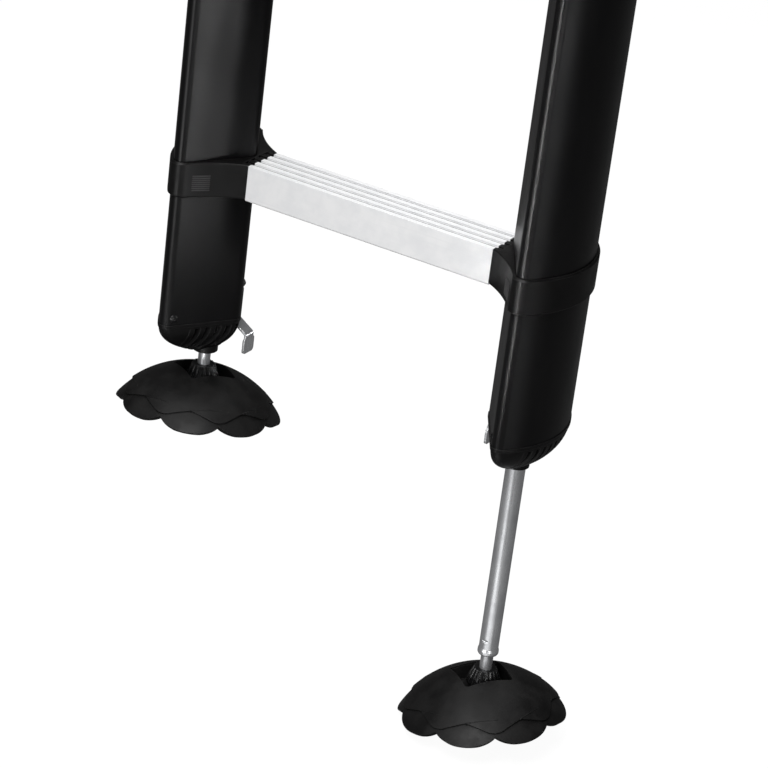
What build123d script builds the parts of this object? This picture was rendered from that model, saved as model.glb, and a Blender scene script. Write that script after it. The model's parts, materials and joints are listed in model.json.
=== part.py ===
from build123d import *
import os
from math import atan, cos, degrees, hypot, radians, sin, sqrt, tan

# Foot end of a telescopic ladder with two height-adjustable legs, in millimetres.
# X runs along the rung, -Y is the climber's side, +Z runs up the stiles.
# The origin is midway between the stiles, on top of the rung's ridges.

# Stiles: a rounded triangle with its broad bulged side outward
STILE_X = 201.0
STILE_TOP = 330.0
STILE_BOTTOM = -188.5
STILE_WALL = 2.2
NOSE_OUT = 6.4
NOSE_DEPTH = 66.0
NOSE_R = 9.0
OUTER_REACH = 38.8
APEX_IN = 29.0
APEX_R = 13.0

# Rung: hollow extrusion with a ridged top
RUNG_HALF_LENGTH = 149.0
RUNG_DEPTH = 55.0
RUNG_HEIGHT = 40.0
RUNG_WALL = 1.8
RUNG_CORNER_R = 2.0
RIDGE_COUNT = 5
RIDGE_WIDTH = 6.0
GROOVE_DEPTH = 2.0
RUNG_INNER_Y = RUNG_DEPTH / 2 - RUNG_WALL
RUNG_INNER_LOW = -RUNG_HEIGHT + RUNG_WALL
RUNG_INNER_HIGH = -GROOVE_DEPTH - RUNG_WALL
RUNG_RIVET_IN = 15.0
RUNG_RIVET_Y = 12.0
RUNG_RIVETS = [
    (side * (RUNG_HALF_LENGTH - RUNG_RIVET_IN), y) for side in (-1, 1) for y in (-RUNG_RIVET_Y, RUNG_RIVET_Y)
]

# Blind rivets
RIVET_SHANK_R = 2.4
RIVET_HOLE_R = 2.5
RIVET_HEAD_R = 4.5
RUNG_RIVET_HEAD_R = 5.0
RIVET_TAIL = 1.5
RIVET_DOME = 0.45

# Rung collars
COLLAR_WALL = 3.5
COLLAR_GAP = 0.1
COLLAR_BOTTOM = -38.0
COLLAR_TOP = 1.0
COLLAR_CHAMFER = 1.8
COLLAR_SEAT = 8.0
FLARE_END = (198.0, 74.3)
FLARE_BOW = (171.0, 43.0)
NECK_EDGE_R = 1.2
COLLAR_RIVET_Z = (-7.0, -26.0)
SPIGOT_LENGTH = 30.0
SPIGOT_GAP = 0.3
SPIGOT_WALL = 3.0

# End plugs
PLUG_LIP = 0.8
PLUG_LIP_HEIGHT = 4.0
PLUG_FLOOR = 2.5
PLUG_RING_TOP = -152.0
PLUG_RING_WALL = 3.0
PLUG_FIT = 0.15
PLUG_BOTTOM = -234.0
BOSS_BOTTOM = -238.0
BOSS_R = 14.0
PLUG_CORE_R = 19.0
PLUG_HULL = ((0.0, 1.0), (0.22, 0.96), (0.45, 0.85), (0.66, 0.68), (0.85, 0.47), (1.0, 0.27))
PLUG_ROOM_X = (140.0, 260.0)
PLUG_ROOM_Y = 90.0
BOSS_ROOT = 8.0
CHAMBER = (176.0, 226.0, -20.5, 27.0)
CHAMBER_FLOOR = -200.0
CHAMBER_WALL = 3.0
PLUG_RIB = 4.8
PLUG_RIB_PITCH = 10.5
PLUG_RIB_COUNT = 10
PLUG_NOSE_Y = 50.0
PLUG_RIVET_Z = -180.4
PLUG_RIVET_IN = 3.0
BUSH_R = 12.8
BUSH_TOP = -213.0
BUSH_STEP = -228.0
BUSH_END = BOSS_BOTTOM - 0.5
RIM_ROOM = 0.4

# Leg, measured up from the lower end of its tube
ROD_X = 197.5
ROD_R = 10.65
ROD_BORE_R = 8.9
ROD_LENGTH = 354.5
RIM_R = 11.5
RIM_HEIGHT = 8.0
RIM_BAND = (1.4, 4.6)
RIM_EDGE_R = 1.0
CRIMP_HEIGHT = 18.0
CRIMP_DEPTH = 0.7
CRIMP_R = 2.5
CRIMP_WIDTH = 9.0
STEM_R = 6.8
NECK_R = 5.0
NECK_TOP = -36.5
BALL_R = 12.0
BALL_DROP = 53.5
CAP_TOP = -18.5
CAP_BOTTOM = -36.5
CAP_TOP_R = 12.5
CAP_BOTTOM_R = 19.0
CAP_FLUTES = 18
CAP_WALL = 3.0
CAP_SKIRT = 3.0
CAP_ROOF = 8.0
FLUTE_R = 1.7
SLEEVE_LENGTH = 40.0
STUD_TOP = 38.0
GUIDE_HEAD_R = 27.0
GUIDE_HEAD = 6.0
GUIDE_LOBES = 4
GUIDE_NOTCH_R = 9.0
GUIDE_SKIRT_R = 14.0
GUIDE_SKIRT = 12.0
GUIDE_PLUG = 25.0
GUIDE_VENT_R = 5.5
PRESS_GAP = 0.1
RUNNING_FIT = 0.05

# Where each leg stands, and how its foot is tilted
LEFT_TUBE_END = -237.0
LEG_OFFSET = 229.5
LEFT_TILT = (-0.021, 0.144)
RIGHT_TILT = (-0.180, 0.030)
LEFT_PHASE = 25.5
RIGHT_PHASE = 16.9

# Lock lever and spring
PIN_X = 218.0
PIN_Z = -191.4
PIN_R = 2.5
PIN_HALF = 14.0
EAR_THICK = 4.0
EAR_HALF = 4.5
EAR_GAP = 1.5
LEVER_THICK = 2.5
LEVER_ARM_WIDTH = 16.0
LEVER_SLOPE = 6.7
LEVER_EYE_R = 18.0
LEVER_HOLE_R = 11.3
TAIL_Y = 17.5
TAIL_WIDTH = 15.0
TAIL_START_X = 203.0
TAIL_TURN_X = 178.0
TAB_X = 154.0
TAB_TOP = -211.0
TAB_BOTTOM = -233.5
TAB_WIDTH = 20.0
TAB_CORNER_R = 4.0
BEND_R = 4.0
TAIL_SLOT = (150.0, 177.0, 8.5, 26.5, -210.0, -190.0)
SPRING_R = 13.6
SPRING_WIRE_R = 0.9
SPRING_TURNS = 5
SPRING_SEAT_GAP = 0.6
SPRING_TOP_GAP = 0.2
COVER_THICK = 5.0
COVER_GAP = 0.5
COVER_HOLE_GAP = 0.8

# Foot, measured from the ball's centre along the foot's own axis
FOOT_BOTTOM = -21.8
PETALS = 8
SPHERE_Z = -84.3
TREAD_R = 113.0
TREAD_SHELL = 6.0
TREAD_TIP = 55.0
TREAD_VALLEY = 49.4
TREAD_RIB = 4.0
TREAD_RIB_REACH = 78.0
TREAD_BOSS_R = 28.5
TREAD_FLOOR_R = 41.0
TREAD_FLOOR = 4.0
DOME_R = 115.0
DOME_GAP = 0.05
DOME_TIP = 49.2
DOME_VALLEY = 42.1
DOME_TIP_ROUND = 0.17
POCKET_HALF = 27.0
POCKET_CORNER_R = 4.0
POCKET_TURN = 32.0
CORE_TOP = 9.5
CORE_BOTTOM = -14.0
CORE_R = 23.0
SEAT_R = 15.0
SEAT_LOW = -9.0
SEAT_HIGH = 7.0
SOCKET_MOUTH = ((11.5, 8.0), (15.0, CORE_TOP + 1))
CORE_GAP = 0.2
POCKET_FLOOR_GAP = 0.3
PLATE_THICK = 3.0
SCREW_CIRCLE = 19.0
SCREW_TURNS = (30.0, 150.0, 270.0)
SCREW_R = 1.5
SCREW_LENGTH = 9.0
SCREW_HOLE_R = 1.6
SCREW_PASS_R = 1.8
SCREW_HEAD_R = 3.1
SCREW_SINK_R = 3.3
SCREW_SINK = 1.8


def prism(face, low, high):
    """Straight block on a level outline, from one height to another."""
    return extrude(Pos(0, 0, low) * face, amount=high - low, dir=(0, 0, 1))


def rod(radius, low, high, x=0.0, y=0.0):
    """Upright cylinder between two heights."""
    return Pos(x, y, (low + high) / 2) * Cylinder(radius, high - low)


def block(x0, x1, y0, y1, z0, z1):
    """Box between two corners."""
    return Pos((x0 + x1) / 2, (y0 + y1) / 2, (z0 + z1) / 2) * Box(x1 - x0, y1 - y0, z1 - z0)


def turned(points):
    """Solid of revolution about Z from (radius, height) points."""
    outline = make_face(Polyline(*[(r, 0, h) for r, h in points], close=True))
    return revolve(outline, Axis.Z)


def stile_face(grow, factor=1.0):
    """Stile outline grown by an offset, or shrunk by a factor towards the leg's axis.

    It has an outer arc, two noses, two flats and the inner apex.
    """
    arc_x = ((NOSE_OUT ** 2 + NOSE_DEPTH ** 2) - (OUTER_REACH - NOSE_R) ** 2)
    arc_x /= 2 * (NOSE_OUT - OUTER_REACH + NOSE_R)
    span = hypot(NOSE_OUT - arc_x, NOSE_DEPTH)
    toward = ((NOSE_OUT - arc_x) / span, NOSE_DEPTH / span)
    run = hypot(NOSE_OUT + APEX_IN, NOSE_DEPTH)
    along = (-(NOSE_OUT + APEX_IN) / run, -NOSE_DEPTH / run)
    lean = (NOSE_R - APEX_R) / run
    side = sqrt(1 - lean ** 2)
    flat = (lean * along[0] + side * along[1], lean * along[1] - side * along[0])
    nose = NOSE_R + grow
    apex = APEX_R + grow
    upper = [
        (NOSE_OUT + nose * toward[0], NOSE_DEPTH + nose * toward[1]),
        (NOSE_OUT, NOSE_DEPTH + nose),
        (NOSE_OUT + nose * flat[0], NOSE_DEPTH + nose * flat[1]),
        (-APEX_IN + apex * flat[0], apex * flat[1]),
    ]
    shift = STILE_X - ROD_X
    high = [(ROD_X + factor * (shift + u), factor * v) for u, v in upper]
    low = [(x, -v) for x, v in high]
    outer = (ROD_X + factor * (shift + OUTER_REACH + grow), 0)
    inner = (ROD_X + factor * (shift - APEX_IN - apex), 0)
    outline = [
        ThreePointArc(low[0], outer, high[0]),
        ThreePointArc(*high[:3]),
        Line(high[2], high[3]),
        ThreePointArc(high[3], inner, low[3]),
        Line(low[3], low[2]),
        ThreePointArc(*reversed(low[:3])),
    ]
    return make_face(outline)


def flat_point(inward, height):
    """A place on the stile's front flat near the nose, with the flat's outward direction."""
    run = hypot(NOSE_OUT + APEX_IN, NOSE_DEPTH)
    along = Vector(-(NOSE_OUT + APEX_IN), NOSE_DEPTH, 0) / run
    lean = (NOSE_R - APEX_R) / run
    normal = along * lean + Vector(-along.Y, along.X, 0) * sqrt(1 - lean ** 2)
    start = Vector(STILE_X + NOSE_OUT, -NOSE_DEPTH, height) + normal * NOSE_R
    return start + Vector(normal.Y, -normal.X, 0) * inward, normal


def rivet(place, direction, head_r, grip):
    """Domed blind rivet with its head on the surface at a place, shank running inward."""
    dome_rise = RIVET_DOME * head_r
    ball = (head_r ** 2 + dome_rise ** 2) / (2 * dome_rise)
    dome = Pos(0, 0, dome_rise - ball) * Sphere(ball)
    dome &= Pos(0, 0, dome_rise / 2) * Box(3 * head_r, 3 * head_r, dome_rise)
    shank = Pos(0, 0, -grip / 2) * Cylinder(RIVET_SHANK_R, grip)
    return Plane(origin=place, z_dir=direction) * (dome + shank)


def drill(place, direction, depth):
    """Cutter for a rivet hole."""
    cutter = Pos(0, 0, -depth / 2 + 1) * Cylinder(RIVET_HOLE_R, depth + 2)
    return Plane(origin=place, z_dir=direction) * cutter


# Rung and its rivets
def ridge_line():
    """Points of the ridged top, front to back."""
    groove = (RUNG_DEPTH - RIDGE_COUNT * RIDGE_WIDTH) / (RIDGE_COUNT - 1)
    points = []
    for k in range(RIDGE_COUNT):
        start = -RUNG_DEPTH / 2 + k * (RIDGE_WIDTH + groove)
        points += [(start, 0), (start + RIDGE_WIDTH, 0)]
        if k < RIDGE_COUNT - 1:
            points += [(start + RIDGE_WIDTH, -GROOVE_DEPTH), (start + RIDGE_WIDTH + groove, -GROOVE_DEPTH)]
    return points


def rung():
    """Hollow rung between the two collars."""
    half = RUNG_DEPTH / 2
    top = [Vector(0, y, z) for y, z in ridge_line()]
    bottom = [
        Vector(0, half, -RUNG_HEIGHT + RUNG_CORNER_R),
        Vector(0, half - RUNG_CORNER_R, -RUNG_HEIGHT),
        Vector(0, -half + RUNG_CORNER_R, -RUNG_HEIGHT),
        Vector(0, -half, -RUNG_HEIGHT + RUNG_CORNER_R),
    ]
    round_in = RUNG_CORNER_R * (1 - sqrt(0.5))
    back_mid = Vector(0, half - round_in, -RUNG_HEIGHT + round_in)
    front_mid = Vector(0, -half + round_in, -RUNG_HEIGHT + round_in)
    outline = make_face([
        Polyline(bottom[3], *top, bottom[0]),
        ThreePointArc(bottom[0], back_mid, bottom[1]),
        Line(bottom[1], bottom[2]),
        ThreePointArc(bottom[2], front_mid, bottom[3]),
    ])
    body = extrude(outline, amount=RUNG_HALF_LENGTH, dir=(1, 0, 0), both=True)
    past_end = RUNG_HALF_LENGTH + 1
    body -= block(-past_end, past_end, -RUNG_INNER_Y, RUNG_INNER_Y, RUNG_INNER_LOW, RUNG_INNER_HIGH)
    for x, y in RUNG_RIVETS:
        body -= drill((x, y, -RUNG_HEIGHT), (0, 0, -1), RUNG_WALL + 1)
    return body


def rung_rivets():
    """Blind rivets under the rung, two at each end."""
    grip = RUNG_WALL + SPIGOT_GAP + SPIGOT_WALL + RIVET_TAIL
    places = [(x, y, -RUNG_HEIGHT) for x, y in RUNG_RIVETS]
    return Compound([rivet(place, (0, 0, -1), RUNG_RIVET_HEAD_R, grip) for place in places])


# Stile, collar and end plug, built on the right-hand side
def stile_tube():
    """Plain tube, drilled for the rivets of its collar and plug."""
    tube = prism(stile_face(0) - stile_face(-STILE_WALL), STILE_BOTTOM, STILE_TOP)
    for place, normal in plug_rivet_places():
        tube -= drill(place, normal, STILE_WALL + 2)
    for place in collar_rivet_places():
        tube -= drill(place, (0, 1, 0), COLLAR_WALL + STILE_WALL + 2)
    return tube


def plug_rivet_places():
    """Front and back rivets of the end plug."""
    place, normal = flat_point(PLUG_RIVET_IN, PLUG_RIVET_Z)
    back = Vector(place.X, -place.Y, place.Z)
    return [(place, normal), (back, Vector(normal.X, -normal.Y, normal.Z))]


def collar_rivet_places():
    """Rivets at the collar's back nose."""
    back = NOSE_DEPTH + NOSE_R + COLLAR_WALL
    return [Vector(STILE_X + NOSE_OUT, back, z) for z in COLLAR_RIVET_Z]


def rung_collar():
    """Band round the stile, flared neck up to the rung, and the spigot inside the rung."""
    half = RUNG_DEPTH / 2
    corner = (RUNG_HALF_LENGTH, half)
    neck = make_face([
        Line((RUNG_HALF_LENGTH, -half), corner),
        ThreePointArc(corner, FLARE_BOW, FLARE_END),
        Line(FLARE_END, (FLARE_END[0], -FLARE_END[1])),
        ThreePointArc((FLARE_END[0], -FLARE_END[1]), (FLARE_BOW[0], -FLARE_BOW[1]), (corner[0], -half)),
    ])
    band = prism(stile_face(COLLAR_WALL), COLLAR_BOTTOM, COLLAR_TOP)
    levels = band.edges().group_by(Axis.Z)
    flare = prism(neck, COLLAR_BOTTOM, COLLAR_TOP)
    flare = fillet(flare.edges().filter_by(GeomType.CIRCLE), NECK_EDGE_R)
    body = chamfer(levels[0] + levels[-1], COLLAR_CHAMFER) + flare
    ridge = [Vector(RUNG_HALF_LENGTH - 1, y, z) for y, z in ridge_line()]
    clear = COLLAR_TOP + 10
    above = make_face(Polyline(
        *ridge, (RUNG_HALF_LENGTH - 1, half, clear), (RUNG_HALF_LENGTH - 1, -half, clear), close=True))
    body -= extrude(above, amount=COLLAR_SEAT + 1, dir=(1, 0, 0))
    y_out = RUNG_INNER_Y - SPIGOT_GAP
    z_low = RUNG_INNER_LOW + SPIGOT_GAP
    z_high = RUNG_INNER_HIGH - SPIGOT_GAP
    spigot_end = RUNG_HALF_LENGTH - SPIGOT_LENGTH
    body += block(spigot_end, RUNG_HALF_LENGTH + 1, -y_out, y_out, z_low, z_high)
    wall = SPIGOT_WALL
    hollow_end = RUNG_HALF_LENGTH + wall
    body -= block(spigot_end - 1, hollow_end, -y_out + wall, y_out - wall, z_low + wall, z_high - wall)
    body -= prism(stile_face(COLLAR_GAP), COLLAR_BOTTOM - 1, COLLAR_TOP + 1)
    for x, y in RUNG_RIVETS:
        body -= drill((x, y, -RUNG_HEIGHT), (0, 0, -1), RUNG_WALL + SPIGOT_GAP + SPIGOT_WALL + 1)
    for place in collar_rivet_places():
        body -= drill(place, (0, 1, 0), COLLAR_WALL + 2)
    return body


def collar_rivets():
    """Two rivets through collar and tube at the back nose."""
    grip = COLLAR_WALL + STILE_WALL + RIVET_TAIL
    return Compound([rivet(place, (0, 1, 0), RIVET_HEAD_R, grip) for place in collar_rivet_places()])


def plug_rivets():
    """Front and back rivets through tube and plug."""
    grip = STILE_WALL + PLUG_RING_WALL + RIVET_TAIL
    return Compound([rivet(place, normal, RIVET_HEAD_R, grip) for place, normal in plug_rivet_places()])


def end_plug():
    """Moulded nose: lip, ring inside the tube, ribbed hull, lock chamber and the boss for the leg."""
    lip_low = STILE_BOTTOM - PLUG_LIP_HEIGHT
    ring_out = -STILE_WALL - PLUG_FIT
    body = prism(stile_face(PLUG_LIP), lip_low, STILE_BOTTOM)
    body += prism(stile_face(ring_out) - stile_face(ring_out - PLUG_RING_WALL), STILE_BOTTOM, PLUG_RING_TOP)
    drop = PLUG_BOTTOM - lip_low
    hull = loft([Pos(0, 0, lip_low + drop * part) * stile_face(0, factor) for part, factor in PLUG_HULL])
    keep = rod(PLUG_CORE_R, PLUG_BOTTOM - 1, lip_low, ROD_X)
    left, right = PLUG_ROOM_X
    end = PLUG_ROOM_Y
    low = PLUG_BOTTOM - 1
    keep += block(left, right, -end, end, lip_low - PLUG_FLOOR, lip_low)
    x0, x1, y0, y1 = CHAMBER
    wall = CHAMBER_WALL
    keep += block(x0 - wall, x1 + wall, y0 - wall, y1 + wall, CHAMBER_FLOOR - wall, lip_low)
    for k in range(PLUG_RIB_COUNT):
        rib_y = (k - (PLUG_RIB_COUNT - 1) / 2) * PLUG_RIB_PITCH
        keep += block(left, right, rib_y - PLUG_RIB / 2, rib_y + PLUG_RIB / 2, low, lip_low)
    keep += block(left, right, PLUG_NOSE_Y, end, low, lip_low)
    keep += block(left, right, -end, -PLUG_NOSE_Y, low, lip_low)
    body += hull & keep
    body += rod(BOSS_R, BOSS_BOTTOM, PLUG_BOTTOM + BOSS_ROOT, ROD_X)
    body -= block(x0, x1, y0, y1, CHAMBER_FLOOR, STILE_BOTTOM + 1)
    body -= rod(BUSH_R + RUNNING_FIT, BOSS_BOTTOM - 1, STILE_BOTTOM + 1, ROD_X)
    body -= block(*TAIL_SLOT)
    for y in (-1, 1):
        ear_mid = y * (LEVER_ARM_WIDTH / 2 + EAR_GAP + EAR_THICK / 2)
        body += block(PIN_X - EAR_HALF, PIN_X + EAR_HALF, ear_mid - EAR_THICK / 2, ear_mid + EAR_THICK / 2,
                      CHAMBER_FLOOR, PIN_Z + EAR_HALF)
    body -= Pos(PIN_X, 0, PIN_Z) * Rot(90, 0, 0) * Cylinder(PIN_R + RUNNING_FIT, 3 * PIN_HALF)
    for place, normal in plug_rivet_places():
        body -= drill(place, normal, STILE_WALL + PLUG_RING_WALL + 3)
    return body


def guide_bush():
    """Plain sleeve in the boss, opened out at its end to take the tube's rolled rim."""
    bush = rod(BUSH_R, BUSH_END, BUSH_TOP, ROD_X)
    bush -= rod(ROD_R + RUNNING_FIT, BUSH_STEP, BUSH_TOP + 1, ROD_X)
    bush -= rod(RIM_R + RIM_ROOM, BUSH_END - 1, BUSH_STEP, ROD_X)
    return bush


# Lock: lever, pin, spring and cover
def lever_pin():
    """Pivot pin across the plug's two ears."""
    return Pos(PIN_X, 0, PIN_Z) * Rot(90, 0, 0) * Cylinder(PIN_R, 2 * PIN_HALF)


def plate_height(x):
    """Height of the jam plate's middle above a place along X."""
    return PIN_Z - (PIN_X - x) * tan(radians(LEVER_SLOPE))


def lock_lever():
    """Jam plate round the leg, rolled on the pin, with a tail to one side bent down to a finger tab."""
    slope = radians(LEVER_SLOPE)
    arm_path = Line((PIN_X, 0, PIN_Z), (ROD_X + LEVER_HOLE_R, 0, plate_height(ROD_X + LEVER_HOLE_R)))
    arm = sweep(Plane(origin=arm_path @ 0, z_dir=arm_path % 0, x_dir=(0, 1, 0))
                * Rectangle(LEVER_ARM_WIDTH, LEVER_THICK), path=arm_path)
    tail_path = FilletPolyline(
        (TAIL_START_X, TAIL_Y, plate_height(TAIL_START_X)), (TAIL_TURN_X, TAIL_Y, plate_height(TAIL_TURN_X)),
        (TAB_X, TAIL_Y, TAB_TOP), (TAB_X, TAIL_Y, TAB_BOTTOM + TAB_CORNER_R), radius=BEND_R)
    tail = sweep(Plane(origin=tail_path @ 0, z_dir=tail_path % 0, x_dir=(0, 1, 0))
                 * Rectangle(TAIL_WIDTH, LEVER_THICK), path=tail_path)
    tab_middle = Pos(TAB_X, TAIL_Y, (TAB_BOTTOM + TAB_TOP - BEND_R) / 2)
    tab = tab_middle * Box(LEVER_THICK, TAB_WIDTH, TAB_TOP - BEND_R - TAB_BOTTOM)
    tab = fillet(tab.edges().filter_by(Axis.X), TAB_CORNER_R)
    plate = Plane(origin=(ROD_X, 0, plate_height(ROD_X)), x_dir=(cos(slope), 0, sin(slope)),
                  z_dir=(-sin(slope), 0, cos(slope)))
    lever = arm + tail + tab + plate * Cylinder(LEVER_EYE_R, LEVER_THICK)
    lever += Pos(PIN_X, 0, PIN_Z) * Rot(90, 0, 0) * Cylinder(PIN_R + LEVER_THICK, LEVER_ARM_WIDTH)
    lever -= plate * Cylinder(LEVER_HOLE_R, 4 * LEVER_THICK)
    return lever - Pos(PIN_X, 0, PIN_Z) * Rot(90, 0, 0) * Cylinder(PIN_R + RUNNING_FIT, 3 * PIN_HALF)


def lock_spring():
    """Coil round the leg between the jam plate and the cover."""
    low = plate_height(ROD_X + SPRING_R) + LEVER_THICK / 2 + SPRING_WIRE_R + SPRING_SEAT_GAP
    high = PLUG_RING_TOP - SPRING_WIRE_R - SPRING_TOP_GAP
    coil = Helix(pitch=(high - low) / SPRING_TURNS, height=high - low, radius=SPRING_R)
    wire = Plane(origin=coil @ 0, z_dir=coil % 0) * Circle(SPRING_WIRE_R)
    return Pos(ROD_X, 0, low) * sweep(wire, path=coil, is_frenet=True)


def lock_cover():
    """Plate on top of the plug's ring, with a hole for the leg."""
    top = PLUG_RING_TOP + COVER_THICK
    plate = prism(stile_face(-STILE_WALL - COVER_GAP), PLUG_RING_TOP, top)
    return plate - rod(ROD_R + COVER_HOLE_GAP, PLUG_RING_TOP - 1, top + 1, ROD_X)


# Leg: built on its own axis with the tube's lower end at zero
def leg_tube():
    """Plated tube with a rolled rim and two crimp dents above it."""
    low, high = RIM_BAND
    inside = ROD_R - 1
    bead = [(ROD_R, 0), (RIM_R, low), (RIM_R, high), (ROD_R, RIM_HEIGHT)]
    rim = turned([(inside, 0), *bead, (inside, RIM_HEIGHT)])
    rim = fillet([e for e in rim.edges().filter_by(GeomType.CIRCLE) if e.radius > ROD_R + 0.1], RIM_EDGE_R)
    tube = rod(ROD_R, 0, ROD_LENGTH) + rim
    tube -= rod(ROD_BORE_R, -1, ROD_LENGTH + 1)
    for turn in (-90.0, 90.0):
        dent = Rot(90, 0, 0) * Cylinder(CRIMP_R, CRIMP_WIDTH)
        tube -= Rot(0, 0, turn) * Pos(ROD_R + CRIMP_R - CRIMP_DEPTH, 0, CRIMP_HEIGHT) * dent
    return tube


def top_guide():
    """Head on the tube's upper end: a plug inside, a skirt outside and a lobed disc."""
    top = ROD_LENGTH + GUIDE_HEAD
    head = rod(GUIDE_HEAD_R, ROD_LENGTH, top)
    for k in range(GUIDE_LOBES):
        notch = rod(GUIDE_NOTCH_R, ROD_LENGTH - 1, top + 1, GUIDE_HEAD_R + 1)
        head -= Rot(0, 0, 360.0 / GUIDE_LOBES * (k + 0.5)) * notch
    head += rod(GUIDE_SKIRT_R, ROD_LENGTH - GUIDE_SKIRT, ROD_LENGTH)
    head -= rod(ROD_R + PRESS_GAP, ROD_LENGTH - GUIDE_SKIRT - 1, ROD_LENGTH)
    head += rod(ROD_BORE_R - PRESS_GAP, ROD_LENGTH - GUIDE_PLUG, ROD_LENGTH)
    return head - rod(GUIDE_VENT_R, ROD_LENGTH - GUIDE_PLUG - 1, top + 1)


def stud_sleeve():
    """Sleeve between tube and stud."""
    sleeve = rod(ROD_BORE_R - PRESS_GAP, 0.5, SLEEVE_LENGTH)
    return sleeve - rod(STEM_R + RUNNING_FIT, -1, SLEEVE_LENGTH + 1)


def foot_stud():
    """Stem with a thinner neck and the ball at its end."""
    ball_z = -BALL_DROP
    stud = rod(STEM_R, NECK_TOP, STUD_TOP)
    stud += rod(NECK_R, ball_z, NECK_TOP)
    return stud + Pos(0, 0, ball_z) * Sphere(BALL_R)


def swivel_cap():
    """Fluted cone that covers the opening where the stem enters the foot."""
    hole = STEM_R + RUNNING_FIT
    skirt = CAP_BOTTOM + CAP_SKIRT
    roof = CAP_TOP - CAP_ROOF
    cap = turned([
        (hole, CAP_TOP), (CAP_TOP_R, CAP_TOP), (CAP_BOTTOM_R, skirt), (CAP_BOTTOM_R, CAP_BOTTOM),
        (CAP_BOTTOM_R - CAP_WALL, CAP_BOTTOM), (STEM_R + CAP_WALL, roof), (hole, roof),
    ])
    lean = degrees(atan((CAP_BOTTOM_R - CAP_TOP_R) / (CAP_TOP - skirt)))
    for k in range(CAP_FLUTES):
        flute = Pos((CAP_TOP_R + CAP_BOTTOM_R) / 2 + FLUTE_R / 2, 0, (CAP_TOP + skirt) / 2)
        flute *= Rot(0, -lean, 0) * Cylinder(FLUTE_R, 2 * (CAP_TOP - CAP_BOTTOM))
        cap -= Rot(0, 0, 360.0 / CAP_FLUTES * k) * flute
    return cap


# Foot: built about the ball's centre, before it is tilted
def ball_seat():
    """Liner round the ball, open above for the neck and below for assembly."""
    ring = Sphere(SEAT_R) & rod(SEAT_R + 1, SEAT_LOW, SEAT_HIGH)
    return ring - Sphere(BALL_R + RUNNING_FIT)


def foot_core():
    """Socket block that holds the liner."""
    core = rod(CORE_R, CORE_BOTTOM, CORE_TOP)
    core -= Sphere(SEAT_R + RUNNING_FIT)
    core -= rod(SEAT_R + RUNNING_FIT, CORE_BOTTOM - 1, 0)
    core -= turned([(0, 0), *SOCKET_MOUTH, (0, CORE_TOP + 1)])
    for x, y in core_screw_places():
        core -= rod(SCREW_HOLE_R, CORE_BOTTOM - 1, CORE_BOTTOM + SCREW_LENGTH + 2, x, y)
    return core


def core_screw_places():
    """Three screws round the socket."""
    return [(SCREW_CIRCLE * cos(radians(a)), SCREW_CIRCLE * sin(radians(a))) for a in SCREW_TURNS]


def core_plate():
    """Disc that closes the socket from below."""
    low = CORE_BOTTOM - PLATE_THICK
    plate = rod(CORE_R, low, CORE_BOTTOM)
    for x, y in core_screw_places():
        plate -= rod(SCREW_PASS_R, low - 1, CORE_BOTTOM + 1, x, y)
        plate -= rod(SCREW_SINK_R, low - 1, low + SCREW_SINK, x, y)
    return plate


def core_screws():
    """Flat-headed screws through the plate into the socket block."""
    low = CORE_BOTTOM - PLATE_THICK
    screws = []
    for x, y in core_screw_places():
        seat = low + SCREW_SINK - PRESS_GAP
        head = rod(SCREW_HEAD_R, low + PRESS_GAP, seat, x, y)
        screws.append(head + rod(SCREW_R, seat, CORE_BOTTOM + SCREW_LENGTH, x, y))
    return Compound(screws)


def petal_points(height, tip, valley, turn):
    """Tips and valleys of a ring of petals, in turn, on a level plane above the dome sphere's centre.

    They lie at the given angles from the foot's axis, seen from that centre.
    """
    points = []
    for k in range(2 * PETALS):
        reach = height * tan(radians(tip if k % 2 else valley))
        angle = radians(turn + 180.0 / PETALS * (k - 1))
        points.append((reach * cos(angle), reach * sin(angle)))
    return points


def round_petals(height, tip, valley, turn):
    """Outline of petals that are arcs from valley to valley."""
    points = petal_points(height, tip, valley, turn)
    points.append(points[0])
    arcs = [ThreePointArc(*points[2 * k:2 * k + 3]) for k in range(PETALS)]
    return Pos(0, 0, SPHERE_Z + height) * make_face(arcs)


def pointed_petals(height, tip, valley, turn):
    """Outline of petals with straight sides and rounded points."""
    star = make_face(Polyline(*petal_points(height, tip, valley, turn), close=True))
    tips = star.vertices().sort_by_distance((0, 0, 0))[-PETALS:]
    return Pos(0, 0, SPHERE_Z + height) * fillet(tips, DOME_TIP_ROUND * height)


def ball_shape(radius):
    """Sphere about the dome's centre."""
    return Pos(0, 0, SPHERE_Z) * Rot(90, 0, 0) * Sphere(radius)


def petal_layer(outer, inner, outline):
    """Shell of the dome whose rim is a ring of petals, trimmed square to the dome.

    The outline function gives the ring's face at a height above the dome's centre.
    """
    funnel = loft([outline(inner * 0.45), outline(outer * 1.15)], ruled=True)
    return (funnel & ball_shape(outer)) - ball_shape(inner)


def pocket():
    """Square pocket in the foot's top, down to the socket block."""
    square = Rot(0, 0, POCKET_TURN) * RectangleRounded(2 * POCKET_HALF, 2 * POCKET_HALF, POCKET_CORNER_R)
    return prism(square, CORE_TOP + POCKET_FLOOR_GAP, SPHERE_Z + DOME_R + 10)


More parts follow.
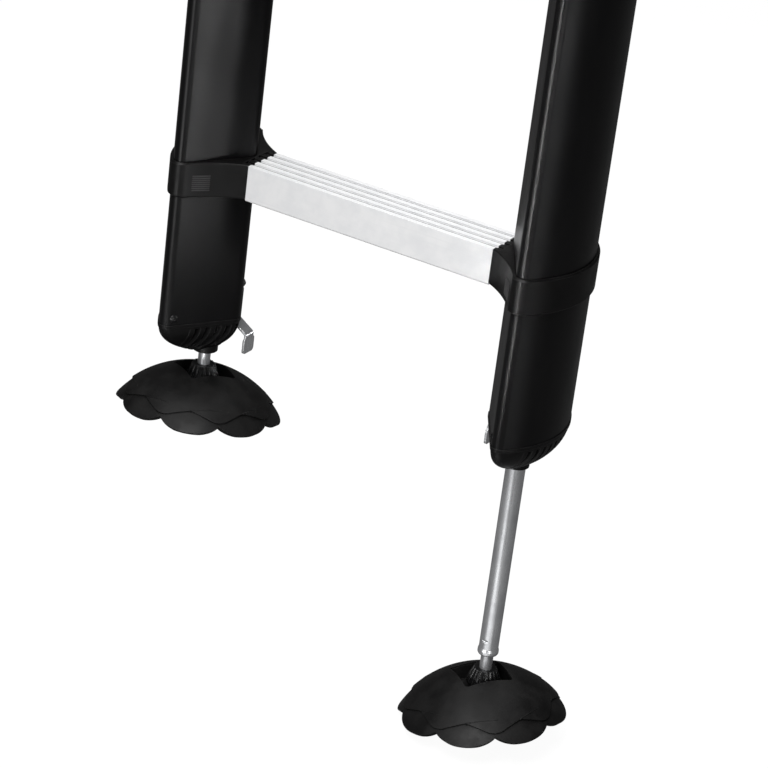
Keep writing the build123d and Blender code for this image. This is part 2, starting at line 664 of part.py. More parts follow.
def foot_tread():
    """Lower petals and sole: a scalloped shell with ribs and a boss for the socket block under it."""
    inner = TREAD_R - TREAD_SHELL
    tread = petal_layer(TREAD_R, inner, lambda height: round_petals(height, TREAD_TIP, TREAD_VALLEY, 0))
    under = rod(TREAD_BOSS_R, FOOT_BOTTOM, CORE_TOP)
    under += rod(TREAD_FLOOR_R, CORE_TOP - TREAD_FLOOR, SPHERE_Z + TREAD_R)
    for k in range(PETALS // 2):
        rib = block(-TREAD_RIB_REACH, TREAD_RIB_REACH, -TREAD_RIB / 2, TREAD_RIB / 2, FOOT_BOTTOM, CORE_TOP)
        under += Rot(0, 0, 360.0 / PETALS * k) * rib
    tread += under & ball_shape(inner + TREAD_SHELL / 2)
    tread -= block(-TREAD_R, TREAD_R, -TREAD_R, TREAD_R, FOOT_BOTTOM - TREAD_R, FOOT_BOTTOM)
    tread -= rod(CORE_R + CORE_GAP, FOOT_BOTTOM - 1, CORE_TOP + POCKET_FLOOR_GAP)
    return tread - pocket()


def foot_dome():
    """Upper petals: a thin scalloped shell over the lower ones, turned by half a petal."""
    half_petal = 180.0 / PETALS
    dome = petal_layer(DOME_R, TREAD_R + DOME_GAP,
                       lambda height: pointed_petals(height, DOME_TIP, DOME_VALLEY, half_petal))
    return dome - pocket()


def tilted(shape, phase, lean):
    """Turn a foot piece about its own axis, then lean that axis."""
    angle = degrees(atan(hypot(*lean)))
    return shape.rotate(Axis.Z, phase).rotate(Axis((0, 0, 0), (-lean[1], lean[0], 0)), angle)


BASE_PIECES = {
    "stile_tube": stile_tube, "rung_collar": rung_collar, "collar_rivets": collar_rivets,
    "end_plug": end_plug, "plug_rivets": plug_rivets, "guide_bush": guide_bush,
    "lever_pin": lever_pin, "lock_lever": lock_lever, "lock_spring": lock_spring, "lock_cover": lock_cover,
}
LEG_PIECES = {
    "leg_tube": leg_tube, "top_guide": top_guide, "stud_sleeve": stud_sleeve,
    "foot_stud": foot_stud, "swivel_cap": swivel_cap,
}
FOOT_PIECES = {
    "foot_core": foot_core, "core_plate": core_plate, "core_screws": core_screws,
    "foot_tread": foot_tread, "foot_dome": foot_dome,
}

os.makedirs("parts", exist_ok=True)
export_step(rung(), "parts/rung.step")
export_step(rung_rivets(), "parts/rung_rivets.step")

for name, build in BASE_PIECES.items():
    piece = build()
    export_step(piece, f"parts/right_{name}.step")
    export_step(mirror(piece, about=Plane.YZ), f"parts/left_{name}.step")

SIDES = {
    "left": (-ROD_X, LEFT_TUBE_END, LEFT_TILT, LEFT_PHASE),
    "right": (ROD_X, LEFT_TUBE_END - LEG_OFFSET, RIGHT_TILT, RIGHT_PHASE),
}
leg_pieces = {name: build() for name, build in LEG_PIECES.items()}
foot_pieces = {name: build() for name, build in FOOT_PIECES.items()}
seat = ball_seat()
for side, (x, tube_end, lean, phase) in SIDES.items():
    for name, piece in leg_pieces.items():
        export_step(Pos(x, 0, tube_end) * piece, f"parts/{side}_{name}.step")
    ball = Pos(x, 0, tube_end - BALL_DROP)
    export_step(ball * seat, f"parts/{side}_ball_seat.step")
    for name, piece in foot_pieces.items():
        export_step(ball * tilted(piece, phase, lean), f"parts/{side}_{name}.step")
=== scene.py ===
"""Looks of a ladder's foot end with two height-adjustable legs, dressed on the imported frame."""
import json
import logging
import math
from dataclasses import dataclass
from enum import Enum
from typing import Dict, List, Sequence, Tuple

import bmesh
import bpy
from mathutils import Matrix, Vector


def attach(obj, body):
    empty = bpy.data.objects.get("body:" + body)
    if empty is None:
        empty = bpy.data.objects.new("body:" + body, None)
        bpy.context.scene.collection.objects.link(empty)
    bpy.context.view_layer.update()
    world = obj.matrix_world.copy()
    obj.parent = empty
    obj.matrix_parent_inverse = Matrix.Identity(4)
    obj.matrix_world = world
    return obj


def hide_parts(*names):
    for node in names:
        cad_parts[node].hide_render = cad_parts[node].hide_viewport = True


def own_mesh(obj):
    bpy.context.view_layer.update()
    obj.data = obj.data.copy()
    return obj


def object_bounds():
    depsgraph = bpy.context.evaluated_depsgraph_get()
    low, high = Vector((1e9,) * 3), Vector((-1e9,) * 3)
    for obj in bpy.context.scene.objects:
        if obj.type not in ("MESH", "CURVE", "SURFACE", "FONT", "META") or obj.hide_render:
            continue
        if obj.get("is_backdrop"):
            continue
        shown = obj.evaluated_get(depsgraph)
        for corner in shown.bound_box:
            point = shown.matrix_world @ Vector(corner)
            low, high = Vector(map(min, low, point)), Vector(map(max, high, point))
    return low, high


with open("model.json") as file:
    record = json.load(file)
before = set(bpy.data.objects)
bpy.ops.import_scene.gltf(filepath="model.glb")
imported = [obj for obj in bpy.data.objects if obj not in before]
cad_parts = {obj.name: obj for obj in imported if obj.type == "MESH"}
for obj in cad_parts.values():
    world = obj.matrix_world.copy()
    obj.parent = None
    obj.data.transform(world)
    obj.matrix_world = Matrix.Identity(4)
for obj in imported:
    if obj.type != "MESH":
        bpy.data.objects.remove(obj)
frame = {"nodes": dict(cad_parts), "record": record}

LOG = logging.getLogger("ladder_foot")
UP = Vector((0.0, 0.0, 1.0))
UNSTRETCHED = (1.0, 1.0, 1.0)
MERGE_DISTANCE = 1e-7
Colour = Tuple[float, float, float]
Point = Tuple[float, float, float]
Pair = Tuple[float, float]


class Side(Enum):
    """Which stile a piece belongs to; the value is the sign of its X."""

    LEFT = -1
    RIGHT = 1

    @property
    def prefix(self) -> str:
        """First word of the names of this side's nodes."""
        return self.name.lower()


class Slot(Enum):
    """Material slots of the record."""

    STILE = "stile_black"
    RUNG = "rung_bare"
    MOULDING = "moulding_black"
    ZINC = "zinc_steel"
    RIVET = "rivet_black"
    RUBBER = "rubber_black"
    LINER = "liner_white"


class Accent(Enum):
    """Places that look different from the rest of their slot; the value ends their names."""

    # The collar's grip ribs, whose paler black is a painted highlight.
    WORN_RIBS = "_collar_grip"
    FLUTED_CAP = "_swivel_cap"


class Grain(Enum):
    """Direction of a drawn or extruded surface's lines, as a stretch of its coordinates."""

    ALONG_X = (0.012, 1.0, 1.0)
    ALONG_Z = (1.0, 1.0, 0.012)


class Wiring:
    """Adds nodes to one node tree and joins their sockets."""

    MIX_FACTOR = 0
    MIX_PLAIN = 6
    MIX_MARKED = 7
    MIX_RESULT = 2

    def __init__(self, tree: bpy.types.NodeTree) -> None:
        """Keeps the tree that is being wired."""
        self.tree = tree

    def node(self, kind: str, **settings: object) -> bpy.types.Node:
        """Adds one node.

        Args:
            kind: Blender's name of the node type.
            settings: properties set on the node.

        Returns:
            The new node.
        """
        made = self.tree.nodes.new(kind)
        for key, value in settings.items():
            setattr(made, key, value)
        return made

    def join(self, source: bpy.types.NodeSocket, target: bpy.types.NodeSocket) -> None:
        """Links an output to an input."""
        self.tree.links.new(source, target)

    def feed(self, target: bpy.types.NodeSocket, value: object) -> None:
        """Links a socket to an input, or sets the input to a plain value.

        Args:
            target: the input.
            value: socket or plain value.
        """
        if isinstance(value, bpy.types.NodeSocket):
            self.join(value, target)
        else:
            target.default_value = value

    def fill(self, node: bpy.types.Node, values: Dict[str, object]) -> bpy.types.Node:
        """Feeds several inputs of a node.

        Args:
            node: the node.
            values: sockets or plain values, by the inputs' names.

        Returns:
            The node.
        """
        for name, value in values.items():
            self.feed(node.inputs[name], value)
        return node

    def math(self, operation: str, first: object, second: object = 0.0) -> bpy.types.NodeSocket:
        """Adds a math node, clamped to the range from 0 to 1.

        Args:
            operation: Blender's name of the operation.
            first: socket or number.
            second: socket or number.

        Returns:
            The result's socket.
        """
        made = self.node("ShaderNodeMath", operation=operation, use_clamp=True)
        self.feed(made.inputs[0], first)
        self.feed(made.inputs[1], second)
        return made.outputs[0]

    def times(self, first: object, second: object) -> bpy.types.NodeSocket:
        """Product of two sockets or numbers, clamped to the range from 0 to 1."""
        return self.math("MULTIPLY", first, second)

    def span(self, value: bpy.types.NodeSocket, low: float, high: float, to_low: float = 0.0,
             to_high: float = 1.0) -> bpy.types.NodeSocket:
        """Maps a value from one range to another, smoothly.

        Args:
            value: socket that varies.
            low: value that becomes to_low.
            high: value that becomes to_high.
            to_low: result at the low end.
            to_high: result at the high end.

        Returns:
            The mapped value's socket.
        """
        made = self.fill(self.node("ShaderNodeMapRange", interpolation_type="SMOOTHSTEP"), {
            "Value": value, "From Min": low, "From Max": high, "To Min": to_low, "To Max": to_high})
        return made.outputs["Result"]

    def noise(self, place: bpy.types.NodeSocket, scale: object, detail: float,
              roughness: float = 0.55) -> bpy.types.NodeSocket:
        """Adds a noise texture.

        Args:
            place: vector socket that the noise is read at.
            scale: socket or number, in features to the metre.
            detail: octaves.
            roughness: weight of the finer octaves.

        Returns:
            The noise value's socket.
        """
        made = self.fill(self.node("ShaderNodeTexNoise"), {
            "Vector": place, "Scale": scale, "Detail": detail, "Roughness": roughness})
        return made.outputs["Fac"]

    def mix(self, mask: bpy.types.NodeSocket, plain: object, marked: object) -> bpy.types.NodeSocket:
        """Mixes two colours.

        Args:
            mask: 0 gives the plain colour and 1 the marked one.
            plain: socket or colour.
            marked: socket or colour.

        Returns:
            The mixed colour's socket.
        """
        made = self.node("ShaderNodeMix", data_type="RGBA")
        self.join(mask, made.inputs[self.MIX_FACTOR])
        for index, value in ((self.MIX_PLAIN, plain), (self.MIX_MARKED, marked)):
            linked = isinstance(value, bpy.types.NodeSocket)
            self.feed(made.inputs[index], value if linked else (*value, 1.0))
        return made.outputs[self.MIX_RESULT]

    def mapped(self, stretch: Sequence[float]) -> bpy.types.NodeSocket:
        """Adds object coordinates, stretched by a Mapping node.

        Args:
            stretch: factor along each axis.

        Returns:
            The coordinates' socket.
        """
        place = self.node("ShaderNodeTexCoord")
        mapping = self.node("ShaderNodeMapping")
        mapping.inputs["Scale"].default_value = tuple(stretch)
        self.join(place.outputs["Object"], mapping.inputs["Vector"])
        return mapping.outputs["Vector"]

    def upward(self) -> bpy.types.NodeSocket:
        """Adds the upward share of the surface's normal.

        Returns:
            The normal's Z, from -1 to 1.
        """
        facing = self.node("ShaderNodeSeparateXYZ")
        self.join(self.node("ShaderNodeNewGeometry").outputs["Normal"], facing.inputs[0])
        return facing.outputs["Z"]

    def bumped(self, height: bpy.types.NodeSocket, normal: bpy.types.NodeSocket, strength: float,
               depth: float) -> bpy.types.NodeSocket:
        """Adds a bump on top of a normal.

        Args:
            height: the bump's height, from 0 to 1.
            normal: normal that the bump is added to.
            strength: weight of the bump.
            depth: its depth in metres.

        Returns:
            The bumped normal's socket.
        """
        made = self.fill(self.node("ShaderNodeBump"), {
            "Strength": strength, "Distance": depth, "Height": height, "Normal": normal})
        return made.outputs["Normal"]


class Effects:
    """Shader node groups that several finishes share, each built once.

    Scales are in features to the metre; spans are the noise or slope values between which a mask comes in.
    """

    GRAIN_DETAIL = 3.0
    GRAIN_ROUGHNESS = 0.6
    MOTTLE_SCALE = 38.0
    MOTTLE_DETAIL = 4.0
    MOTTLE_SPAN = (0.32, 0.68)
    LINE_DETAIL = 4.0
    LINE_ROUGHNESS = 0.7
    SCRATCH_SCALE = 260.0
    SCRATCH_DETAIL = 2.0
    SCRATCH_ROUGHNESS = 0.5
    SCRATCH_SPAN = (0.60, 0.74)
    EDGE_SAMPLES = 6
    EDGE_SPAN = (0.995, 0.90)
    DUST_SLOPE_SPAN = (0.15, 0.95)
    PATCH_SCALE = 55.0
    PATCH_DETAIL = 6.0
    PATCH_ROUGHNESS = 0.65
    PATCH_SPAN = (0.42, 0.72)
    PATCH_SHARE = 0.6
    SPECK_SCALE = 1400.0
    SPECK_DETAIL = 1.0
    SPECK_SPAN = (0.62, 0.74)
    SPECK_SHARE = 0.8

    def __init__(self) -> None:
        """Starts with no group built."""
        self.built: Dict[str, bpy.types.NodeTree] = {}

    def _open(self, name: str, inputs: Sequence[Tuple[str, str]],
              outputs: Sequence[Tuple[str, str]]) -> Tuple[Wiring, bpy.types.Node, bpy.types.Node]:
        """Makes an empty group with its sockets.

        Args:
            name: the group's name.
            inputs: names and socket types.
            outputs: names and socket types.

        Returns:
            The wiring, the input node and the output node.
        """
        tree = bpy.data.node_groups.new(name, "ShaderNodeTree")
        for label, kind in inputs:
            tree.interface.new_socket(name=label, in_out="INPUT", socket_type=kind)
        for label, kind in outputs:
            tree.interface.new_socket(name=label, in_out="OUTPUT", socket_type=kind)
        self.built[name] = tree
        wiring = Wiring(tree)
        return wiring, wiring.node("NodeGroupInput"), wiring.node("NodeGroupOutput")

    def place(self, wiring: Wiring, name: str, **values: object) -> bpy.types.Node:
        """Puts a group into a material.

        Args:
            wiring: the material's wiring.
            name: group to use.
            values: what goes into its inputs, by name.

        Returns:
            The group node.
        """
        if name not in self.built:
            getattr(self, f"_build_{name}")()
        return wiring.fill(wiring.node("ShaderNodeGroup", node_tree=self.built[name]), values)

    def _build_moulded_grain(self) -> None:
        """Fine skin grain with slow mottling."""
        wiring, source, target = self._open(
            "moulded_grain", [("Place", "NodeSocketVector"), ("Fineness", "NodeSocketFloat")],
            [("Height", "NodeSocketFloat"), ("Mottle", "NodeSocketFloat")])
        place = source.outputs["Place"]
        fine = wiring.noise(place, source.outputs["Fineness"], self.GRAIN_DETAIL, self.GRAIN_ROUGHNESS)
        slow = wiring.noise(place, self.MOTTLE_SCALE, self.MOTTLE_DETAIL, self.GRAIN_ROUGHNESS)
        wiring.join(fine, target.inputs["Height"])
        wiring.join(wiring.span(slow, *self.MOTTLE_SPAN), target.inputs["Mottle"])

    def _build_drawn_lines(self) -> None:
        """Fine parallel lines of a drawn, brushed or extruded surface, with a few deeper ones."""
        wiring, source, target = self._open(
            "drawn_lines", [("Place", "NodeSocketVector"), ("Fineness", "NodeSocketFloat")],
            [("Height", "NodeSocketFloat"), ("Scratch", "NodeSocketFloat")])
        place = source.outputs["Place"]
        lines = wiring.noise(place, source.outputs["Fineness"], self.LINE_DETAIL, self.LINE_ROUGHNESS)
        deep = wiring.noise(place, self.SCRATCH_SCALE, self.SCRATCH_DETAIL, self.SCRATCH_ROUGHNESS)
        wiring.join(lines, target.inputs["Height"])
        wiring.join(wiring.span(deep, *self.SCRATCH_SPAN), target.inputs["Scratch"])

    def _build_soft_edges(self) -> None:
        """Rounded-over shading normal at edges, and a mask of where the edges are, which the finishes use to
        paint a highlight along edges.
        """
        wiring, source, target = self._open(
            "soft_edges", [("Radius", "NodeSocketFloat")],
            [("Normal", "NodeSocketVector"), ("Edge", "NodeSocketFloat")])
        bevel = wiring.node("ShaderNodeBevel", samples=self.EDGE_SAMPLES)
        wiring.join(source.outputs["Radius"], bevel.inputs["Radius"])
        true_normal = wiring.node("ShaderNodeNewGeometry").outputs["Normal"]
        match = wiring.node("ShaderNodeVectorMath", operation="DOT_PRODUCT")
        wiring.join(bevel.outputs["Normal"], match.inputs[0])
        wiring.join(true_normal, match.inputs[1])
        wiring.join(bevel.outputs["Normal"], target.inputs["Normal"])
        wiring.join(wiring.span(match.outputs["Value"], *self.EDGE_SPAN), target.inputs["Edge"])

    def _build_settled_dust(self) -> None:
        """Mask of pale dust in patches and specks on faces that look up."""
        wiring, source, target = self._open(
            "settled_dust", [("Place", "NodeSocketVector"), ("Amount", "NodeSocketFloat")],
            [("Mask", "NodeSocketFloat")])
        place = source.outputs["Place"]
        upward = wiring.span(wiring.upward(), *self.DUST_SLOPE_SPAN)
        blotch = wiring.noise(place, self.PATCH_SCALE, self.PATCH_DETAIL, self.PATCH_ROUGHNESS)
        dots = wiring.noise(place, self.SPECK_SCALE, self.SPECK_DETAIL)
        patches = wiring.times(wiring.span(blotch, *self.PATCH_SPAN), self.PATCH_SHARE)
        specks = wiring.times(wiring.span(dots, *self.SPECK_SPAN), self.SPECK_SHARE)
        both = wiring.math("ADD", patches, specks)
        shown = wiring.times(wiring.times(both, upward), source.outputs["Amount"])
        wiring.join(shown, target.inputs["Mask"])


def open_material(name: str) -> Tuple[bpy.types.Material, Wiring, bpy.types.Node]:
    """Starts a node material.

    Args:
        name: the material's name.

    Returns:
        The material, its wiring and its Principled shader.
    """
    material = bpy.data.materials.new(name)
    material.use_nodes = True
    wiring = Wiring(material.node_tree)
    return material, wiring, material.node_tree.nodes["Principled BSDF"]


@dataclass(frozen=True)
class SkinFinish:
    """Coat, moulding or rubber: fine grain, soft edges with a paler colour that is partly edge wear and
    partly a painted highlight, faint mottling and dust.

    Attributes hold colours in linear light, sizes in metres and grain in features to the metre.
    """

    name: str
    deep: Colour
    bloom: Colour
    dust: Colour
    edge: Colour
    roughness: Pair
    specular: float
    fineness: float
    grain_depth: float
    edge_radius: float
    dust_amount: float
    stretch: Point = UNSTRETCHED
    edge_share: float = 0.6
    dust_roughness: float = 0.35
    grain_strength: float = 0.35

    def make(self, effects: Effects) -> bpy.types.Material:
        """Builds the material.

        Args:
            effects: shared node groups.

        Returns:
            The finished material.
        """
        material, wiring, shader = open_material(self.name)
        place = wiring.mapped(UNSTRETCHED)
        grain = effects.place(wiring, "moulded_grain", Place=wiring.mapped(self.stretch),
                              Fineness=self.fineness)
        edges = effects.place(wiring, "soft_edges", Radius=self.edge_radius)
        dust = effects.place(wiring, "settled_dust", Place=place, Amount=self.dust_amount).outputs["Mask"]
        mottle = grain.outputs["Mottle"]
        colour = wiring.mix(mottle, self.deep, self.bloom)
        # Painted highlight: edges take a paler colour, partly edge wear, mostly standing in for the bright
        # lines that light draws along rounded edges.
        colour = wiring.mix(wiring.times(edges.outputs["Edge"], self.edge_share), colour, self.edge)
        colour = wiring.mix(dust, colour, self.dust)
        rough = wiring.math("ADD", wiring.span(mottle, 0.0, 1.0, *self.roughness),
                            wiring.times(dust, self.dust_roughness))
        normal = wiring.bumped(grain.outputs["Height"], edges.outputs["Normal"],
                               self.grain_strength, self.grain_depth)
        wiring.join(colour, shader.inputs["Base Color"])
        wiring.join(rough, shader.inputs["Roughness"])
        wiring.join(normal, shader.inputs["Normal"])
        shader.inputs["Specular IOR Level"].default_value = self.specular
        return material


@dataclass(frozen=True)
class MetalFinish:
    """Bare or plated metal with drawn lines, stains, scratches, edges paled by burnish and a painted
    highlight, and painted shade in its low grooves.

    Attributes hold colours in linear light, sizes in metres and lines to the metre. The groove is the pair
    of heights between which the painted groove shade fades out, by default below the whole part, where it
    puts none.
    """

    name: str
    bright: Colour
    dull: Colour
    soil: Colour
    metallic: float
    roughness: Pair
    grain: Grain
    fineness: float
    line_depth: float
    edge_radius: float
    groove: Pair = (-2.0, -1.9)
    burnished: Colour = (0.92, 0.925, 0.93)
    edge_share: float = 0.8
    edge_metallic: float = 0.5
    stain_fineness: float = 420.0
    stain_roughness: float = 0.06
    soil_patch_span: Pair = (0.2, 0.8)
    soil_cover: Pair = (0.55, 1.0)
    soil_slope: Pair = (0.5, 0.9)
    scratch_share: float = 0.5
    line_span: Pair = (0.3, 0.7)
    line_strength: float = 0.3

    def make(self, effects: Effects) -> bpy.types.Material:
        """Builds the material.

        Args:
            effects: shared node groups.

        Returns:
            The finished material.
        """
        material, wiring, shader = open_material(self.name)
        place = wiring.mapped(UNSTRETCHED)
        lines = effects.place(wiring, "drawn_lines", Place=wiring.mapped(self.grain.value),
                              Fineness=self.fineness)
        stains = effects.place(wiring, "moulded_grain", Place=place, Fineness=self.stain_fineness)
        edges = effects.place(wiring, "soft_edges", Radius=self.edge_radius)
        edge, mottle = edges.outputs["Edge"], stains.outputs["Mottle"]
        soiled = self._soil_mask(wiring, place, stains.outputs["Height"])
        colour = wiring.mix(mottle, self.bright, self.dull)
        colour = wiring.mix(wiring.times(lines.outputs["Scratch"], self.scratch_share), colour, self.dull)
        # Painted shade: the low grooves between the rung's ridges turn dark grey, where shade falls.
        colour = wiring.mix(soiled, colour, self.soil)
        # Painted highlight: edges turn paler, partly burnish, mostly standing in for the light that rounded
        # edges catch.
        colour = wiring.mix(wiring.times(edge, self.edge_share), colour, self.burnished)
        worn = wiring.span(lines.outputs["Height"], *self.line_span, *self.roughness)
        rough = wiring.math("ADD", worn, wiring.times(mottle, self.stain_roughness))
        # Edges also lose some metallic, so that the painted highlight shows as pale colour.
        metallic = wiring.span(edge, 0.0, 1.0, self.metallic, self.edge_metallic * self.metallic)
        normal = wiring.bumped(lines.outputs["Height"], edges.outputs["Normal"],
                               self.line_strength, self.line_depth)
        wiring.join(colour, shader.inputs["Base Color"])
        wiring.join(rough, shader.inputs["Roughness"])
        wiring.join(metallic, shader.inputs["Metallic"])
        wiring.join(normal, shader.inputs["Normal"])
        return material

    def _soil_mask(self, wiring: Wiring, place: bpy.types.NodeSocket,
                   patches: bpy.types.NodeSocket) -> bpy.types.NodeSocket:
        """Mask of painted shade on faces that look up and lie as low as the groove.

        Args:
            wiring: the material's wiring.
            place: object coordinates.
            patches: noise that thins the painted shade in places.

        Returns:
            The mask's socket.
        """
        height = wiring.node("ShaderNodeSeparateXYZ")
        wiring.join(place, height.inputs[0])
        bottom, top = self.groove
        low = wiring.times(wiring.span(height.outputs["Z"], top, bottom),
                           wiring.span(wiring.upward(), *self.soil_slope))
        return wiring.times(low, wiring.span(patches, *self.soil_patch_span, *self.soil_cover))


# Each skin finish's edge colour is far paler than its deep colour: partly edge wear, mostly a painted
# highlight along edges.
FINISHES = {
    Slot.STILE: SkinFinish(
        "stile_powder_coat", deep=(0.0026, 0.0025, 0.0028), bloom=(0.0035, 0.0034, 0.0037),
        dust=(0.06, 0.058, 0.055), edge=(0.022, 0.022, 0.023), roughness=(0.32, 0.37), specular=0.22,
        fineness=1500.0, grain_depth=0.00012, edge_radius=0.0005, dust_amount=0.05,
        stretch=(1.0, 1.0, 0.35)),
    Slot.MOULDING: SkinFinish(
        "moulded_nylon", deep=(0.0026, 0.0025, 0.0026), bloom=(0.0040, 0.0038, 0.0040),
        dust=(0.07, 0.068, 0.065), edge=(0.036, 0.0355, 0.036), roughness=(0.36, 0.45), specular=0.22,
        fineness=2600.0, grain_depth=0.00016, edge_radius=0.0009, dust_amount=0.06),
    Slot.RUBBER: SkinFinish(
        "moulded_rubber", deep=(0.0030, 0.0029, 0.0030), bloom=(0.0050, 0.0048, 0.0048),
        dust=(0.08, 0.076, 0.07), edge=(0.012, 0.0118, 0.0115), roughness=(0.46, 0.60), specular=0.26,
        fineness=1900.0, grain_depth=0.00022, edge_radius=0.0008, dust_amount=0.05),
    Slot.RIVET: SkinFinish(
        "rivet_gloss_black", deep=(0.0040, 0.0040, 0.0044), bloom=(0.0060, 0.0060, 0.0064),
        dust=(0.06, 0.058, 0.055), edge=(0.012, 0.012, 0.013), roughness=(0.28, 0.36), specular=0.45,
        fineness=900.0, grain_depth=0.00005, edge_radius=0.0004, dust_amount=0.06),
    Slot.LINER: SkinFinish(
        "natural_acetal", deep=(0.74, 0.73, 0.68), bloom=(0.80, 0.79, 0.75), dust=(0.55, 0.53, 0.49),
        edge=(0.84, 0.83, 0.80), roughness=(0.30, 0.40), specular=0.5,
        fineness=1200.0, grain_depth=0.00006, edge_radius=0.0005, dust_amount=0.15),
    Slot.RUNG: MetalFinish(
        "rung_bare_aluminium", bright=(0.83, 0.83, 0.835), dull=(0.77, 0.775, 0.785),
        soil=(0.31, 0.31, 0.315), metallic=0.35, roughness=(0.50, 0.62), grain=Grain.ALONG_X,
        fineness=1500.0, line_depth=0.00010, edge_radius=0.0006, groove=(-0.0019, -0.0010)),
    Slot.ZINC: MetalFinish(
        "bright_zinc_plate", bright=(0.83, 0.84, 0.86), dull=(0.66, 0.67, 0.69), soil=(0.30, 0.30, 0.31),
        metallic=0.88, roughness=(0.24, 0.33), grain=Grain.ALONG_Z, fineness=1700.0, line_depth=0.00008,
        edge_radius=0.0009),
}

ACCENT_FINISHES = {
    # Painted highlight: the ribs take a black far paler than the collar's, standing in for the light their
    # crests catch.
    Accent.WORN_RIBS: SkinFinish(
        "worn_grip_ribs", deep=(0.034, 0.033, 0.034), bloom=(0.046, 0.045, 0.046), dust=(0.09, 0.088, 0.085),
        edge=(0.055, 0.054, 0.055), roughness=(0.40, 0.50), specular=0.25,
        fineness=2600.0, grain_depth=0.00010, edge_radius=0.0002, dust_amount=0.10),
    # Painted highlight: the flutes' edges take a much paler colour than the cap.
    Accent.FLUTED_CAP: SkinFinish(
        "fluted_cap_gloss", deep=(0.0040, 0.0040, 0.0042), bloom=(0.0060, 0.0060, 0.0062),
        dust=(0.06, 0.058, 0.055), edge=(0.060, 0.060, 0.062), roughness=(0.20, 0.28), specular=0.5,
        fineness=2600.0, grain_depth=0.00006, edge_radius=0.0006, dust_amount=0.03),
}


class Wardrobe:
    """Holds the materials and puts them on nodes and pieces."""

    def __init__(self) -> None:
        """Builds each finish once."""
        effects = Effects()
        self.plain = {slot: finish.make(effects) for slot, finish in FINISHES.items()}
        self.accents = {accent: finish.make(effects) for accent, finish in ACCENT_FINISHES.items()}

    def _material(self, name: str, slot: Slot) -> bpy.types.Material:
        """Finds the material of a node or piece.

        Args:
            name: the node's or piece's name.
            slot: its material slot.

        Returns:
            The accent's material where the name ends as an accent's does, or else the slot's.
        """
        for accent, material in self.accents.items():
            if name.endswith(accent.value):
                return material
        return self.plain[slot]

    def dress_nodes(self, record: dict) -> int:
        """Gives every node of the frame its finish.

        Args:
            record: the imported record, which names each node's slot.

        Returns:
            How many nodes were dressed.
        """
        for part in record["subparts"]:
            node = frame["nodes"][part["node"]]
            node.data.materials.clear()
            node.data.materials.append(self._material(part["node"], Slot(part["material_slot"])))
        return len(record["subparts"])

    def dress_piece(self, piece: bpy.types.Object, slot: Slot, body: str) -> bpy.types.Object:
        """Gives a new piece its finish and lets it ride on a body.

        Args:
            piece: object at the origin with its place in its mesh.
            slot: its material slot.
            body: the body that carries it.

        Returns:
            The piece.
        """
        piece.data.materials.append(self._material(piece.name, slot))
        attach(piece, body)
        LOG.info("%s rides on %s", piece.name, body)
        return piece


def piece_from(mesh: bmesh.types.BMesh, name: str, smooth: bool = True) -> bpy.types.Object:
    """Turns a finished bmesh into an object.

    Args:
        mesh: the bmesh, which is freed.
        name: the object's name.
        smooth: whether its faces are shaded smooth.

    Returns:
        The linked object.
    """
    bmesh.ops.remove_doubles(mesh, verts=mesh.verts, dist=MERGE_DISTANCE)
    bmesh.ops.recalc_face_normals(mesh, faces=mesh.faces)
    data = bpy.data.meshes.new(name)
    mesh.to_mesh(data)
    mesh.free()
    for polygon in data.polygons:
        polygon.use_smooth = smooth
    piece = bpy.data.objects.new(name, data)
    bpy.context.scene.collection.objects.link(piece)
    return piece


def frame_at(place: Vector, along: Vector, up: Vector) -> Matrix:
    """Axes at a place: X along a direction, Z as near to up as that allows.

    Args:
        place: origin.
        along: direction of X.
        up: rough direction of Z.

    Returns:
        The matrix from those axes to the row frame.
    """
    x_axis = along.normalized()
    y_axis = up.cross(x_axis).normalized()
    z_axis = x_axis.cross(y_axis)
    axes = Matrix((x_axis, y_axis, z_axis)).transposed().to_4x4()
    return Matrix.Translation(place) @ axes


